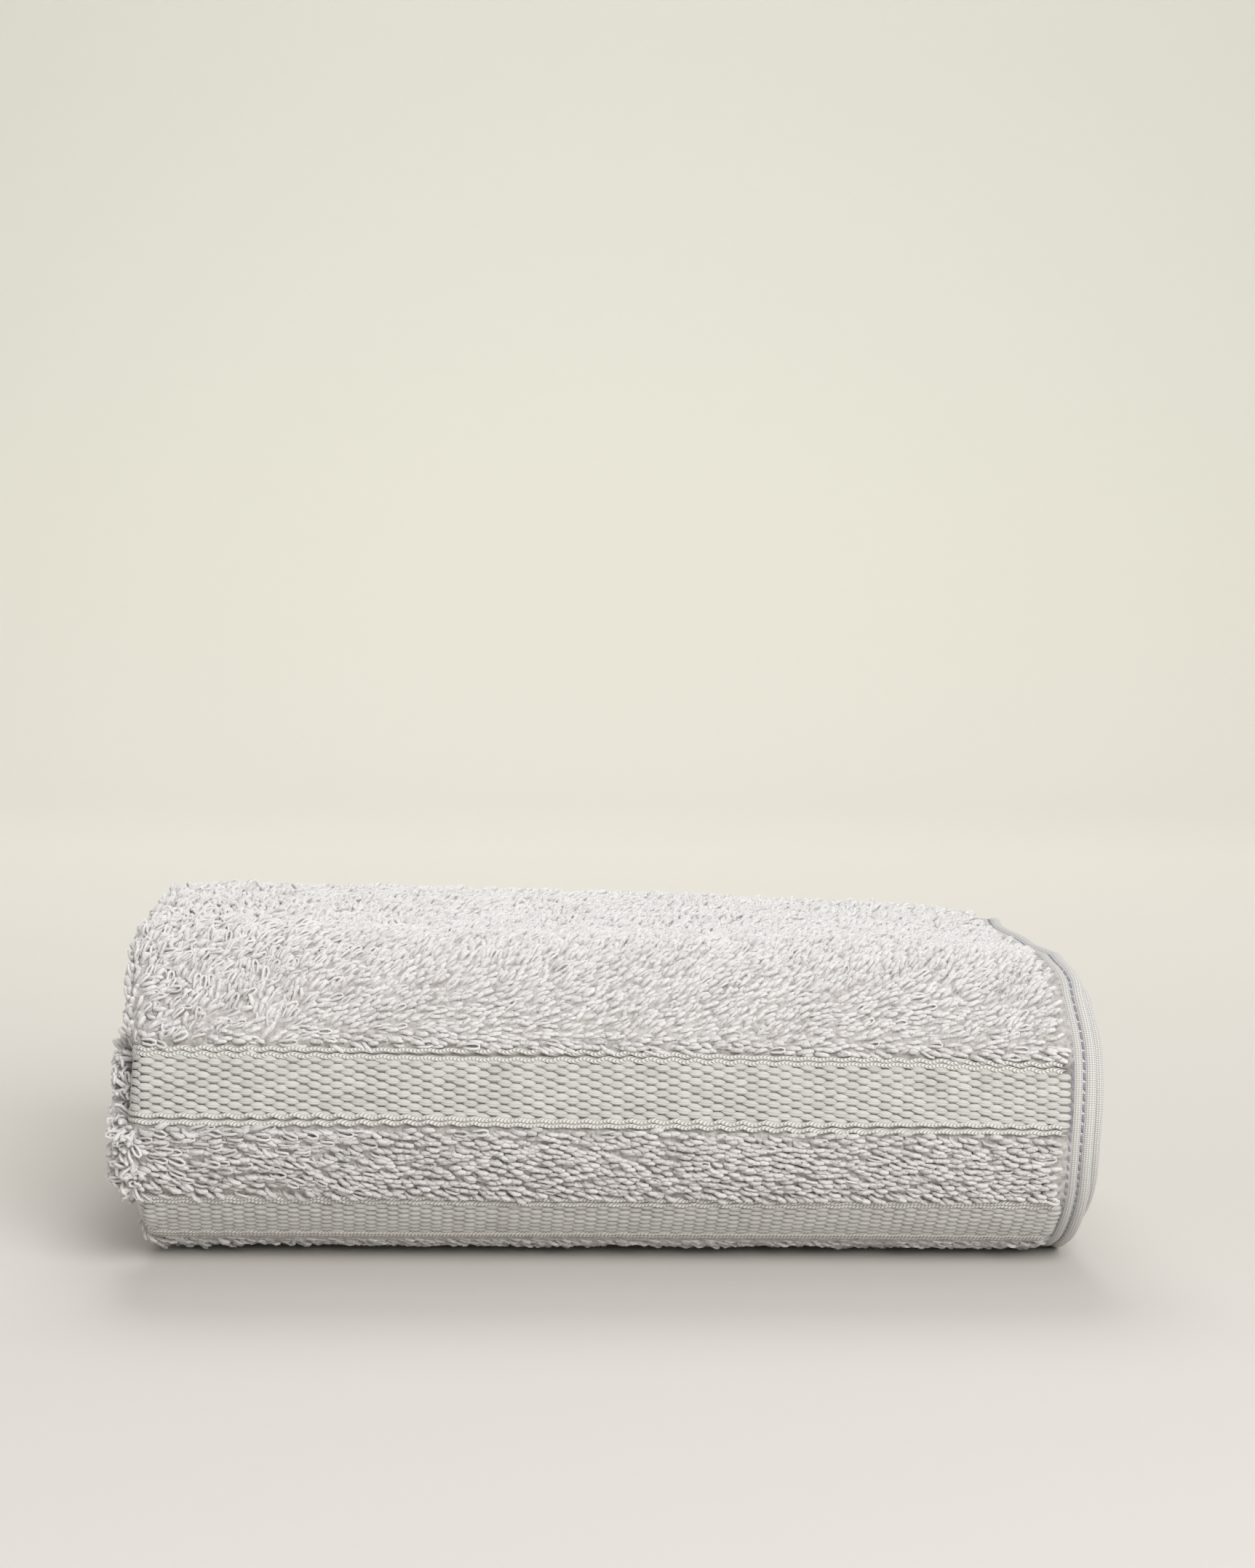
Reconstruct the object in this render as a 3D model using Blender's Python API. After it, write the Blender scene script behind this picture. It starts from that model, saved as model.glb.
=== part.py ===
"""Rolled bath towel: a terry towel folded in half lengthwise and wound up double, with two woven borders.

The roll lies along X. Its front, with the borders, faces -Y, and it rests on Z = 0. The fold of the
cloth is its left end and the side hems are its right end. Sizes are in millimetres, the mesh in metres.
"""

import math

import bmesh
import bpy

MM = 0.001
NODE = "towel_roll"

# Cloth
LAYER = 7.4  # one layer of terry, pile included
FOLDED = 2 * LAYER  # the towel is folded in half, so each lap of the roll is double
HEM_END = 6.5  # the two hemmed ends of the towel, pressed flat under the roll
BORDER_DEPTH = 1.8  # how far the woven borders lie below the tips of the pile
RIB_DEPTH = 1.1  # the corded ribs of a border stand up from it
RIB_GROOVE = 2.6
HEM_WIDTH = 9.4
HEM_DEPTH = 2.2

# Roll
LAPS = 3
CORE_HALF = 44.0  # the roll is pressed flat, so its middle is a straight stretch of cloth
CORE_GAP = 1.0  # under the flat start of the cloth, which lies in the middle of the roll
CORE_THICK = FOLDED / 2 + CORE_GAP / 2
LOOSE_END_Y = 35.0  # where the loose end stops, under the back of the roll
UNDER = CORE_THICK + (LAPS + 1) * FOLDED  # from the middle of the roll down to the floor
TO_MIDDLE_X = 5.90  # these bring the middle of the roll's box over the origin
TO_MIDDLE_Y = 3.77

# The roll is thicker at its folded left end than at the hems
SWELL = (
    # x, size of the section
    (-178.0, 1.020),
    (-90.0, 1.014),
    (0.0, 0.997),
    (90.0, 0.977),
    (166.0, 0.958),
)

# The winding has wandered, so the ends aren't straight. Laps are counted from the loose end's back
ENDS = (
    # share of a lap, left end x, right end x
    (0.00, -176.0, 160.0),
    (0.12, -179.0, 157.0),
    (0.28, -182.0, 151.0),
    (0.40, -182.0, 148.0),
    (0.52, -180.5, 154.0),
    (0.60, -179.5, 160.0),
    (0.66, -178.5, 164.8),
    (0.74, -178.0, 167.0),
    (0.86, -180.0, 166.2),
    (1.00, -176.0, 163.0),
)
BORDER_INSET = 3.5  # with no pile on it, a border's fold stops short of the pile's at the left
INNER_EDGE_OUT = 3.6  # the inner layer's side hem shows past the outer layer's

# How far each inner lap's ends stand out past the outer lap's
TELESCOPE = (
    # left end, right end
    (-4.0, -5.0),
    (1.5, 1.0),
    (0.0, 0.0),
)

# Across one lap at each end: the share of its thickness, and how far that line stands back
LEFT_LIP = (
    # share, setback
    (0.00, 7.4),
    (0.14, 2.0),
    (0.38, 0.1),
    (0.62, 0.1),
    (0.86, 2.0),
)
RIGHT_LIP = (
    # share, setback
    (0.00, 11.0),
    (0.16, 0.6 - INNER_EDGE_OUT),
    (0.34, -INNER_EDGE_OUT),
    (0.50, 7.0),
    (0.72, 0.0),
)
LIP = len(LEFT_LIP)
FARTHEST_LINE = 2  # the line across a lap that reaches farthest left
FOLD_START = 7.4  # the skin turns into the fold this far from the left end
HEM_ROUND = 0.7

# Soft swells and hollows in the pile
SOFT_SPOTS = (
    # x, share of the lap, reach in x, reach in share, height
    (-150.0, 0.55, 45.0, 0.070, 2.2),
    (-120.0, 0.43, 60.0, 0.060, 1.6),
    (-60.0, 0.52, 40.0, 0.060, -1.0),
    (20.0, 0.45, 70.0, 0.080, 1.4),
    (70.0, 0.58, 40.0, 0.050, 0.8),
    (120.0, 0.50, 35.0, 0.060, -1.6),
    (145.0, 0.38, 30.0, 0.080, -2.4),
    (-165.0, 0.80, 25.0, 0.030, 1.6),
    (-40.0, 0.80, 60.0, 0.025, 0.6),
    (-110.0, 0.20, 55.0, 0.080, 1.8),
    (10.0, 0.15, 50.0, 0.070, -1.2),
    (95.0, 0.22, 60.0, 0.080, 1.5),
    (-20.0, 0.30, 45.0, 0.060, 1.0),
)

# Angles of the roll's outward side, counted from the back over the top
TOP = 90.0
BOTTOM = 270.0
UPPER_BORDER_AT = 161.5
LOWER_BORDER_AT = 217.6
BORDER_WIDTH = 29.4

# From the edge with two ribs to the edge with one
BORDER_ROWS = (
    # along the cloth, depth
    (0.0, 0.0),
    (0.7, RIB_GROOVE),
    (1.8, RIB_DEPTH),
    (2.7, RIB_GROOVE),
    (3.8, RIB_DEPTH),
    (5.0, RIB_GROOVE),
    (6.2, BORDER_DEPTH),
    (15.6, BORDER_DEPTH),
    (25.2, BORDER_DEPTH),
    (26.4, RIB_GROOVE),
    (27.5, RIB_DEPTH),
    (28.6, RIB_GROOVE),
    (29.4, 0.0),
)

# Rows of points round one lap
BACK_ROWS = 14
TOP_ROWS = 7
UPPER_FRONT_ROWS = 6
UPPER_FRONT_GAP = 7.0  # degrees of plain pile left over the upper border
BAND_ROWS = 4
LOWER_FRONT_ROWS = 3
BOTTOM_ROWS = 6

MIDDLE_COLUMNS = 22
LEFT_COLUMNS = (FOLD_START, 11.5, 17.0)  # from the left end
RIGHT_COLUMNS = (HEM_WIDTH + 0.7, HEM_WIDTH, 4.6, HEM_ROUND)  # from the right end


def read(table, at, column):
    """The value at a place in a table whose first column is the place, smoothly between its rows."""
    if at <= table[0][0]:
        return table[0][column]
    for low, high in zip(table, table[1:]):
        if at <= high[0]:
            part = (at - low[0]) / (high[0] - low[0])
            smooth = part * part * (3 - 2 * part)
            return low[column] + (high[column] - low[column]) * smooth
    return table[-1][column]


class Station:
    """One direction around the roll, where every lap has a line of points."""

    def __init__(self, core_y, angle, share, depth=0.0):
        self.core_y = core_y
        self.slope = angle
        self.angle = math.radians(angle)
        self.share = share
        self.depth = depth
        self.on_border = depth > 0
        self.under = angle in (BOTTOM, BOTTOM - 360.0)
        self.growth = max(0.0, (angle - TOP) / 180.0) if core_y < LOOSE_END_Y else 0.0


def spread(start, end, count):
    """Evenly spaced values after start, up to and with end."""
    return [start + (end - start) * (k + 1) / count for k in range(count)]


def front_radius(angle):
    """The roll's outside, from the middle of its front turn, which grows by one lap on its way down."""
    return CORE_THICK + (LAPS + (angle - TOP) / 180.0) * FOLDED


def border_angles(start, rows):
    found, reached = [], 0.0
    for along, depth in rows:
        start += math.degrees((along - reached) / front_radius(start))
        reached = along
        found.append((start, depth))
    return found


def stations():
    """The directions of one lap, from the loose end round the back, the top and the front, and under."""
    back = math.pi * (CORE_THICK + LAPS * FOLDED)
    top = 2 * CORE_HALF
    front = math.pi * front_radius(TOP + 90.0)
    whole = back + top + front
    mirrored = [(BORDER_WIDTH - along, depth) for along, depth in reversed(BORDER_ROWS)]
    above = spread(TOP, UPPER_BORDER_AT - UPPER_FRONT_GAP, UPPER_FRONT_ROWS)
    front_rows = [(angle, 0.0) for angle in above]
    front_rows += border_angles(UPPER_BORDER_AT, BORDER_ROWS)
    band = spread(front_rows[-1][0], LOWER_BORDER_AT, BAND_ROWS)[:-1]
    front_rows += [(angle, 0.0) for angle in band]
    front_rows += border_angles(LOWER_BORDER_AT, mirrored)
    front_rows += [(angle, 0.0) for angle in spread(front_rows[-1][0], BOTTOM, LOWER_FRONT_ROWS)]

    found = [Station(LOOSE_END_Y, BOTTOM - 360.0, 0.0)]
    for angle in [BOTTOM - 360.0] + spread(BOTTOM - 360.0, TOP, BACK_ROWS):
        found.append(Station(CORE_HALF, angle, back / whole * (angle + 90.0) / 180.0))
    for y in spread(CORE_HALF, -CORE_HALF, TOP_ROWS):
        found.append(Station(y, TOP, (back + CORE_HALF - y) / whole))
    for angle, depth in front_rows:
        share = (back + top + front * (angle - TOP) / 180.0) / whole
        found.append(Station(-CORE_HALF, angle, share, depth))
    for y in spread(-CORE_HALF, LOOSE_END_Y, BOTTOM_ROWS)[:-1]:
        found.append(Station(y, BOTTOM, 1.0))
    return found


AROUND = stations()
PER_LAP = len(AROUND)
FIRST = [station.slope for station in AROUND].index(TOP) - PER_LAP  # the cloth starts flat in the middle
LAST = LAPS * PER_LAP
PIVOT = range(FIRST + TOP_ROWS + 1, -BOTTOM_ROWS)  # the first turn is made round the edge of that start
SETTLED_BACK = 110.0  # degrees of the back turn, from the floor up, that sink over the loose end


def settle(step, station, offset):
    """How far a line drops because the laps above the thin loose end sink towards the floor."""
    if station.under:
        weight = min(1.0, (CORE_HALF + station.core_y) / (CORE_HALF + LOOSE_END_Y))
    elif station.core_y == CORE_HALF:
        weight = max(0.0, 1.0 - (station.slope + 90.0) / SETTLED_BACK)
    else:
        weight = 0.0
    if step > LAST:
        weight = 0.0 if station.growth == 1.0 or step == LAST + PER_LAP else weight
    return weight * (FOLDED - HEM_END) * min(1.0, offset / (CORE_THICK + LAPS * FOLDED))


def line(step, x, depth=0.0):
    """A point of the line on the inner side of the cloth, so many stations along its winding."""
    lap, at = divmod(step, PER_LAP)
    station = AROUND[at]
    swell = read(SWELL, x, 1)
    if step in PIVOT:
        return -CORE_HALF * swell, (UNDER - FOLDED / 2) * swell
    growth = station.growth
    if step == LAST + PER_LAP:
        lap, growth = LAPS, 1.0
    offset = CORE_THICK + (lap + growth) * FOLDED
    drop = settle(step, station, offset)
    y = (station.core_y + (offset - depth) * math.cos(station.angle)) * swell
    z = (UNDER + (offset - depth) * math.sin(station.angle)) * swell - drop
    return y, max(z, 0.0)


def place(step, across, x, depth=0.0):
    """A point of the cloth, a share of the way across its thickness."""
    if across == 0.0:
        return line(step, x)
    if across == 1.0:
        return line(step + PER_LAP, x, depth)
    inner, outer = line(step, x), line(step + PER_LAP, x)
    return tuple(low + (high - low) * across for low, high in zip(inner, outer))


def soft_height(x, share):
    total = 0.0
    for at_x, at_share, reach_x, reach_share, height in SOFT_SPOTS:
        far = ((x - at_x) / reach_x) ** 2 + ((share - at_share) / reach_share) ** 2
        total += height * math.exp(-far)
    return total


def outline_point(step, x, depth):
    """A point of the outermost skin, with the soft unevenness of the pile."""
    station = AROUND[step % PER_LAP]
    if not station.under and not station.on_border:
        depth = depth - soft_height(x, station.share)
    return place(step, 1.0, x, depth)


def end_x(side, step, across_row):
    """How far along X the left (0) or right (1) end of a lap reaches, at one line across its thickness."""
    lap, at = divmod(step, PER_LAP)
    station = AROUND[at]
    share = 1.0 if step == LAST else station.share
    lap = min(max(lap, 0), LAPS - 1)
    telescope = TELESCOPE[lap][side]
    if side == 0:
        inset = BORDER_INSET if station.on_border and step > LAST - PER_LAP else 0.0
        return read(ENDS, share, 1) - telescope + inset + LEFT_LIP[across_row][1]
    return read(ENDS, share, 2) + telescope - RIGHT_LIP[across_row][1]


def skin_depth(station, from_left, from_right):
    """How far the skin lies below the tips of the pile: less on the pile, more on the hems and borders."""
    hem = 0.0 if station.under else HEM_DEPTH
    if from_right <= HEM_WIDTH:
        return hem
    if from_left <= FOLD_START and station.on_border:
        return min(station.depth, BORDER_DEPTH)
    return station.depth


def columns(step):
    """The x of each column of the skin, with its depth, from the fold at the left to the hem at the right."""
    station = AROUND[step % PER_LAP]
    left = end_x(0, step, FARTHEST_LINE)
    right = end_x(1, step, LIP - 1)
    start = left + LEFT_COLUMNS[-1]
    end = right - RIGHT_COLUMNS[0]
    places = [left + far for far in LEFT_COLUMNS[:-1]]
    places += [start + (end - start) * k / MIDDLE_COLUMNS for k in range(MIDDLE_COLUMNS)]
    places += [right - far for far in RIGHT_COLUMNS]
    return [(x, skin_depth(station, x - left, right - x)) for x in places]


def add_point(mesh, x, yz):
    return mesh.verts.new(((x + TO_MIDDLE_X) * MM, (yz[0] + TO_MIDDLE_Y) * MM, yz[1] * MM))


def add_face(mesh, corners):
    ring = [corner for at, corner in enumerate(corners) if corner is not corners[at - 1]]
    if len(ring) > 2:
        mesh.faces.new(ring)


def skin(mesh):
    """The outside of the last lap and the edge of the loose end. Returns each line's first and last points."""
    outline = [(step, LIP) for step in range(LAST - PER_LAP + 1, LAST + 1)]
    outline += [(LAST, row) for row in range(LIP - 1, -1, -1)]
    lines = []
    for step, row in outline:
        line = []
        count = len(columns(step))
        for at, (x, depth) in enumerate(columns(step)):
            if row == LIP:
                yz = outline_point(step, x, depth)
            else:
                part = at / (count - 1)
                across = LEFT_LIP[row][0] + (RIGHT_LIP[row][0] - LEFT_LIP[row][0]) * part
                yz = place(step, across, x)
            line.append(add_point(mesh, x, yz))
        lines.append(line)
    for line, following in zip(lines, lines[1:] + lines[:1]):
        for at in range(len(line) - 1):
            add_face(mesh, (line[at], line[at + 1], following[at + 1], following[at]))
    return {key: (line[0], line[-1]) for key, line in zip(outline, lines)}


def end_face(mesh, side, rim):
    """One end of the roll: every lap is a rounded ridge, with a groove between it and the next."""
    lip = (LEFT_LIP, RIGHT_LIP)[side]
    points = {}

    def key_of(step, row):
        if row == LIP and step + PER_LAP <= LAST:
            return step + PER_LAP, 0
        if row == 0 and step in PIVOT:
            return PIVOT[0], 0
        return step, row

    def point(step, row):
        key = key_of(step, row)
        if key not in points:
            if key in rim:
                points[key] = rim[key][side]
            elif key == (LAST - PER_LAP, LIP) or key == (LAST, 0):
                points[key] = rim[(LAST, 0)][side]
            else:
                x = end_x(side, *key)
                points[key] = add_point(mesh, x, place(key[0], lip[key[1]][0], x))
        return points[key]

    for step in range(FIRST, LAST):
        for row in range(LIP):
            corners = (point(step, row), point(step + 1, row), point(step + 1, row + 1), point(step, row + 1))
            add_face(mesh, corners)
    core = [point(step, 0) for step in range(FIRST, FIRST + PER_LAP + 1) if step not in PIVOT[1:]]
    core += [point(FIRST, row) for row in range(LIP - 1, 0, -1)]
    middle = mesh.faces.new(core)
    bmesh.ops.triangulate(mesh, faces=[middle])


def terry():
    """Pale warm grey cotton terry."""
    finish = bpy.data.materials.new("cotton_terry")
    finish.use_nodes = True
    surface = finish.node_tree.nodes["Principled BSDF"]
    surface.inputs["Base Color"].default_value = (0.64, 0.62, 0.59, 1.0)
    surface.inputs["Roughness"].default_value = 0.95
    surface.inputs["Metallic"].default_value = 0.0
    return finish


def towel_roll():
    mesh = bmesh.new()
    rim = skin(mesh)
    end_face(mesh, 0, rim)
    end_face(mesh, 1, rim)
    bmesh.ops.recalc_face_normals(mesh, faces=mesh.faces)
    data = bpy.data.meshes.new(NODE)
    mesh.to_mesh(data)
    mesh.free()
    data.materials.append(terry())
    data.shade_smooth()
    data.set_sharp_from_angle(angle=math.radians(50))
    towel = bpy.data.objects.new(NODE, data)
    bpy.context.collection.objects.link(towel)


for old in list(bpy.data.objects):
    bpy.data.objects.remove(old)
towel_roll()
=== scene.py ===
import math
import random

import bmesh
import bpy
import numpy as np
from mathutils import Matrix, Vector, noise


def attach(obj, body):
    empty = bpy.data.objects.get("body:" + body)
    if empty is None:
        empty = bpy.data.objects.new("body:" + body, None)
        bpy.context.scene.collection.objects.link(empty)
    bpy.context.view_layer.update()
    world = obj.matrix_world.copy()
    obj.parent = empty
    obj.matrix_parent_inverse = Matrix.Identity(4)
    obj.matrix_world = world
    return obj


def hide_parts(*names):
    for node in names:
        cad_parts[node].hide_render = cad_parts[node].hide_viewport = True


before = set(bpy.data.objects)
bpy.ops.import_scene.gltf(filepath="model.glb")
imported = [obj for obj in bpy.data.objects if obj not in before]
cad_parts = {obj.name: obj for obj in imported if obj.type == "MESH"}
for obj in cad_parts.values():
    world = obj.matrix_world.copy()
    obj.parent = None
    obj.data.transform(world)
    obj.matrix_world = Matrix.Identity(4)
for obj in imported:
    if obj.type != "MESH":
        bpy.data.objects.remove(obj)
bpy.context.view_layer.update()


# The camera: a 72 mm lens a good metre in front of the roll and a little above it. It looks slightly down
# on the roll, square to its front.
EYE = Vector((0.0059, -1.1832, 0.305))
LOOKS_DOWN = math.radians(6.57)
ROLLED = math.radians(0.4)
LENS_MM = 72.0

lens = bpy.data.cameras.new("camera")
lens.lens = LENS_MM
lens.sensor_width = 36.0
lens.clip_start = 0.01
camera = bpy.data.objects.new("camera", lens)
turned = Matrix.Rotation(math.pi / 2 - LOOKS_DOWN, 4, "X") @ Matrix.Rotation(ROLLED, 4, "Z")
camera.matrix_world = Matrix.Translation(EYE) @ turned
bpy.context.collection.objects.link(camera)
bpy.context.scene.camera = camera


# The towel's ground cloth: 70 x 140 cm of plain-woven cotton, with the pile and the borders woven into it.
# It is folded in half lengthwise, the fold at the left and both side hems at the right, and wound up
# double from a flat start in the middle. Three laps go round, and the loose end lies under the back.
MM = 0.001
CLOTH_LENGTH = 1.40
LAYER = 7.4  # one layer of terry, pile included
FOLDED = 2 * LAYER
GROUND_HEIGHT = LAYER / 2  # the ground runs in the middle of its layer
BED_HEIGHT = 5.1  # as high as the roots of the pile stand too close to see between
GROUND_THICK = 1.0
HEM_END = 6.5  # both layers at the loose end, hemmed and pressed flat
LAPS = 3
CORE_HALF = 44.0
CORE_THICK = FOLDED / 2 + 0.5
LOOSE_END = 35.0
CORE_UP = CORE_THICK + (LAPS + 1) * FOLDED  # the core's middle over the floor
MIDDLE_X = 5.90  # these two bring the roll's box over the origin
MIDDLE_Y = 3.77
BACK_LENGTH = math.pi * (CORE_THICK + LAPS * FOLDED)
TOP_LENGTH = 2 * CORE_HALF
FRONT_LENGTH = math.pi * (CORE_THICK + (LAPS + 0.5) * FOLDED)
LAP_LENGTH = BACK_LENGTH + TOP_LENGTH + FRONT_LENGTH
INNER_EDGE_OUT = 3.6  # the inner layer's side hem shows past the outer layer's

# A place along the winding is its run, which grows by one on each stretch of a lap: under the back, the
# back, the top, the front and the bottom
STRETCHES = 5
FIRST_RUN = -3.0
LAST_RUN = float(STRETCHES * LAPS)
OUTER_RUN = LAST_RUN - STRETCHES
OUTER_BACK = OUTER_RUN + 1
OUTER_TOP = OUTER_RUN + 2
OUTER_FRONT = OUTER_RUN + 3
OUTER_BOTTOM = OUTER_RUN + 4

# The section's size along the roll, which is thicker at its fold
SWELL = (
    # x, size
    (-178.0, 1.020),
    (-90.0, 1.014),
    (0.0, 0.997),
    (90.0, 0.977),
    (166.0, 0.958),
)
ENDS = (
    # share of a lap, left end x, right end x
    (0.00, -176.0, 160.0),
    (0.12, -179.0, 157.0),
    (0.28, -182.0, 151.0),
    (0.40, -182.0, 148.0),
    (0.52, -180.5, 154.0),
    (0.60, -179.5, 160.0),
    (0.66, -178.5, 164.8),
    (0.74, -178.0, 167.0),
    (0.86, -180.0, 166.2),
    (1.00, -176.0, 163.0),
)
TELESCOPE = (
    # run at the middle of a lap, how far its left and right ends stand out
    (2.5, -4.0, -5.0),
    (7.5, 1.5, 1.0),
    (12.0, 0.0, 0.0),
)
SOFT_SPOTS = (
    # x, share of the lap, reach in x, reach in share, height
    (-150.0, 0.55, 45.0, 0.070, 2.2),
    (-120.0, 0.43, 60.0, 0.060, 1.6),
    (-60.0, 0.52, 40.0, 0.060, -1.0),
    (20.0, 0.45, 70.0, 0.080, 1.4),
    (70.0, 0.58, 40.0, 0.050, 0.8),
    (120.0, 0.50, 35.0, 0.060, -1.6),
    (145.0, 0.38, 30.0, 0.080, -2.4),
    (-165.0, 0.80, 25.0, 0.030, 1.6),
    (-40.0, 0.80, 60.0, 0.025, 0.6),
    (-110.0, 0.20, 55.0, 0.080, 1.8),
    (10.0, 0.15, 50.0, 0.070, -1.2),
    (95.0, 0.22, 60.0, 0.080, 1.5),
    (-20.0, 0.30, 45.0, 0.060, 1.0),
)


def read(rows, at, column=1):
    """A column of a table at each place, smoothly between its rows."""
    rows = np.array(rows)
    keys = rows[:, 0]
    at = np.clip(at, keys[0], keys[-1])
    above = np.clip(np.searchsorted(keys, at), 1, len(keys) - 1)
    part = (at - keys[above - 1]) / (keys[above] - keys[above - 1])
    smooth = part * part * (3 - 2 * part)
    return rows[above - 1, column] + (rows[above, column] - rows[above - 1, column]) * smooth


def smooth_step(low, high, at):
    part = np.clip((at - low) / (high - low), 0, 1)
    return part * part * (3 - 2 * part)


def heading(run):
    """The y of the arc's centre at each run, its outward angle, the share of the lap gone and its growth."""
    stretch = np.floor(run) % STRETCHES
    part = run - np.floor(run)
    on = [stretch == at for at in range(STRETCHES - 1)]
    centre = np.select(
        on,
        [LOOSE_END + (CORE_HALF - LOOSE_END) * part, CORE_HALF, CORE_HALF * (1 - 2 * part), -CORE_HALF],
        -CORE_HALF + (CORE_HALF + LOOSE_END) * part,
    )
    angle = np.select(on, [-90.0, -90.0 + 180.0 * part, 90.0, 90.0 + 180.0 * part], 270.0)
    gone = np.select(
        on,
        [0.0, BACK_LENGTH * part, BACK_LENGTH + TOP_LENGTH * part,
         BACK_LENGTH + TOP_LENGTH + FRONT_LENGTH * part],
        LAP_LENGTH,
    )
    growth = np.select([stretch == 3, stretch == 4], [part, 1.0], 0.0)
    return centre, angle, gone / LAP_LENGTH, growth


def lap_line(run, x):
    """The y and z of the line between two laps, at each run and x."""
    centre, angle, _, growth = heading(run)
    swell = read(SWELL, x)
    offset = CORE_THICK + (np.floor(run / STRETCHES) + growth) * FOLDED
    # The laps sink towards the floor over the thin loose end
    settles = np.clip((CORE_HALF + centre) / (CORE_HALF + LOOSE_END), 0, 1)
    on_back = np.clip(1 - (angle + 90.0) / 110.0, 0, 1)
    stretch = np.floor(run) % STRETCHES
    weight = np.select([(stretch == 0) | (stretch == 4), stretch == 1], [settles, on_back], 0.0)
    weight = np.where(run >= LAST_RUN + STRETCHES - 1, 0.0, weight)
    drop = weight * (FOLDED - HEM_END) * np.minimum(1, offset / (CORE_THICK + LAPS * FOLDED))
    y = (centre + offset * np.cos(np.radians(angle))) * swell
    z = (CORE_UP + offset * np.sin(np.radians(angle))) * swell - drop
    # The cloth's start turns round one line
    pivot = (run > FIRST_RUN + 1) & (run < FIRST_RUN + 2)
    y = np.where(pivot, -CORE_HALF * swell, y)
    z = np.where(pivot, (CORE_UP - FOLDED / 2) * swell, z)
    return y, z


def end_at(run, column):
    """The x of the left (1) or right (2) end of the cloth along the winding."""
    share = heading(run)[2]
    side = -1.0 if column == 1 else 1.0
    return read(ENDS, share, column) + side * read(TELESCOPE, run, column)


def soft_height(x, share):
    """How far the soft swellings of the outermost lap stand out of it, or its hollows sink in."""
    total = 0.0
    for at_x, at_share, reach_x, reach_share, height in SOFT_SPOTS:
        far = ((x - at_x) / reach_x) ** 2 + ((share - at_share) / reach_share) ** 2
        total = total + height * np.exp(-far)
    return total


UPPER_BORDER = 68.9  # along the cloth, from the start of the front turn
BORDER_WIDTH = 29.4
PILE_BAND = 29.8  # the pile between the two borders
LOWER_BORDER = UPPER_BORDER + BORDER_WIDTH + PILE_BAND
FOLD_INSET = 1.9  # a border's fold has no pile, and stops short of the pile's


def front_run(along):
    """The run at a length of cloth from the start of the outermost front turn, whose radius grows."""
    start = CORE_THICK + LAPS * FOLDED
    part = (np.sqrt(start**2 + 2 * FOLDED * along / math.pi) - start) / FOLDED
    return OUTER_FRONT + np.clip(part, 0.0, 0.9999)


def front_along(run):
    """How much of the outermost front turn's cloth lies above a run, in its length."""
    part = np.clip(run - OUTER_FRONT, 0, 1)
    return math.pi * ((CORE_THICK + LAPS * FOLDED) * part + FOLDED * part**2 / 2)


def on_borders(run):
    """1 on the two woven borders of the front, 0 on the pile."""
    below_upper = front_along(run) - UPPER_BORDER
    below_lower = front_along(run) - LOWER_BORDER
    upper = smooth_step(-2.5, -0.5, below_upper) * smooth_step(-1.5, 0.5, BORDER_WIDTH - below_upper)
    lower = smooth_step(-1.5, 0.5, below_lower) * smooth_step(-1.5, 0.5, BORDER_WIDTH - below_lower)
    return np.where((run > OUTER_FRONT) & (run < OUTER_BOTTOM), upper + lower, 0.0)


def band_share(run):
    """1 on the pile between the two borders, whose loops lie flat and open."""
    along = front_along(run)
    below_upper = smooth_step(0.0, 2.0, along - UPPER_BORDER - BORDER_WIDTH)
    inside = below_upper * smooth_step(0.0, 2.0, LOWER_BORDER - along)
    return np.where((run > OUTER_FRONT) & (run < OUTER_BOTTOM), inside, 0.0)


def pressed_flat(run):
    """1 under the roll, whose weight presses the outer layer's pile flat."""
    return smooth_step(OUTER_BOTTOM - 0.10, OUTER_BOTTOM + 0.02, run)


def cloth(run, reach, height):
    """Points of the folded cloth in metres. reach is the way from the fold's far edge over the outer layer,
    or under it where it is negative. height is the distance from the middle between the two layers."""
    run, reach, height = np.broadcast_arrays(np.asarray(run, float), reach, height)
    quarter = height * math.pi / 2
    turn = np.clip(reach / np.maximum(height, 0.01), -math.pi / 2, math.pi / 2)
    past = np.maximum(0.0, np.abs(reach) - quarter)
    left = end_at(run, 1) + FOLD_INSET * on_borders(run)
    x = left + LAYER - height * np.cos(turn) + past
    share = heading(run)[2]
    inner, outer = lap_line(run, x), lap_line(run + STRETCHES, x)
    wide, high = outer[0] - inner[0], outer[1] - inner[1]
    thick = np.maximum(np.hypot(wide, high), 0.01)
    lift = height * np.sin(turn) * thick / FOLDED
    ends = 1 - smooth_step(OUTER_BOTTOM - 0.15, OUTER_BOTTOM, run)
    outermost = smooth_step(OUTER_RUN, OUTER_BACK, run) * ends
    lift = lift + outermost * (1 - on_borders(run)) * soft_height(x, share) * np.clip(np.sin(turn), 0, 1)
    y = (inner[0] + outer[0]) / 2 + wide / thick * lift
    z = (inner[1] + outer[1]) / 2 + high / thick * lift
    return np.stack([(x + MIDDLE_X) * MM, (y + MIDDLE_Y) * MM, np.maximum(z, 0.0) * MM], axis=-1)


def outer_reach(run, from_hem, height):
    """The reach of a place that is so far from the outer layer's right edge."""
    left = end_at(run, 1) + FOLD_INSET * on_borders(run)
    return end_at(run, 2) - from_hem - left - LAYER + height * math.pi / 2


def inner_reach(run, from_hem, height):
    """The same for the inner layer, whose edge stands further out."""
    return -outer_reach(run, from_hem - INNER_EDGE_OUT, height)


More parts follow.
